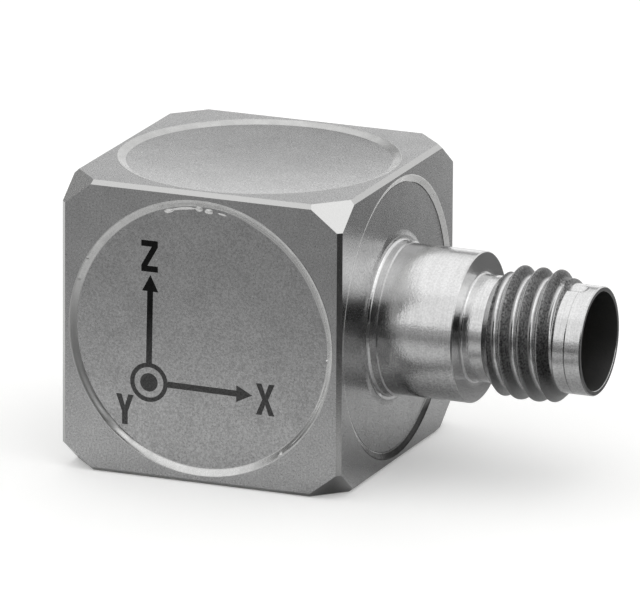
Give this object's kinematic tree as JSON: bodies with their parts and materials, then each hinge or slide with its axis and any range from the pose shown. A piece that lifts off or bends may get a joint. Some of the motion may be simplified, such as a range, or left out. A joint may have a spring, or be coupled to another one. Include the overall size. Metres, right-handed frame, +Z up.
{
  "type": "vibration sensor",
  "caption": "Small cube-shaped metal vibration sensor with round welded covers on its faces and a threaded cable receptacle standing out of one side.",
  "frame": {"origin": "centre of the flat mounting face, on the axis of its tapped hole", "axes": "+Z up, away from the surface it is mounted on; +X towards the cable receptacle; -Y the marked front face"},
  "size_m": [0.024, 0.014, 0.014],
  "materials": {
    "titanium_blasted": "fine bead-blasted titanium",
    "titanium_cover": "fine bead-blasted titanium, welded at the rim",
    "titanium_turned": "turned titanium, smooth",
    "post_metal": "ground titanium",
    "insulator": "dark moulded insulator",
    "contact": "gold-plated contact",
    "crystal": "lapped piezoelectric ceramic",
    "mass_metal": "sintered tungsten alloy",
    "ring_metal": "spring steel",
    "board": "ceramic hybrid board",
    "chip": "black chip package",
    "lead": "gold ribbon and wire"
  },
  "bodies": {
    "root": {"amplifier_board_x": "board", "amplifier_board_y": "board", "amplifier_board_z": "board", "amplifier_chip_x": "chip", "amplifier_chip_y": "chip", "amplifier_chip_z": "chip", "connector_insert": "insulator", "connector_shell": "titanium_turned", "contact_pin_1": "contact", "contact_pin_2": "contact", "contact_pin_3": "contact", "contact_pin_4": "contact", "element_lead_x": "lead", "element_lead_y": "lead", "element_lead_z": "lead", "element_post_x": "post_metal", "element_post_y": "post_metal", "element_post_z": "post_metal", "front_cover": "titanium_cover", "housing": "titanium_blasted", "link_lead_y": "lead", "link_lead_z": "lead", "preload_ring_x": "ring_metal", "preload_ring_y": "ring_metal", "preload_ring_z": "ring_metal", "seismic_mass_x_1": "mass_metal", "seismic_mass_x_2": "mass_metal", "seismic_mass_x_3": "mass_metal", "seismic_mass_y_1": "mass_metal", "seismic_mass_y_2": "mass_metal", "seismic_mass_y_3": "mass_metal", "seismic_mass_z_1": "mass_metal", "seismic_mass_z_2": "mass_metal", "seismic_mass_z_3": "mass_metal", "shear_plate_x_1": "crystal", "shear_plate_x_2": "crystal", "shear_plate_x_3": "crystal", "shear_plate_y_1": "crystal", "shear_plate_y_2": "crystal", "shear_plate_y_3": "crystal", "shear_plate_z_1": "crystal", "shear_plate_z_2": "crystal", "shear_plate_z_3": "crystal", "side_cover": "titanium_cover", "top_cover": "titanium_cover"}
  },
  "joints": []
}
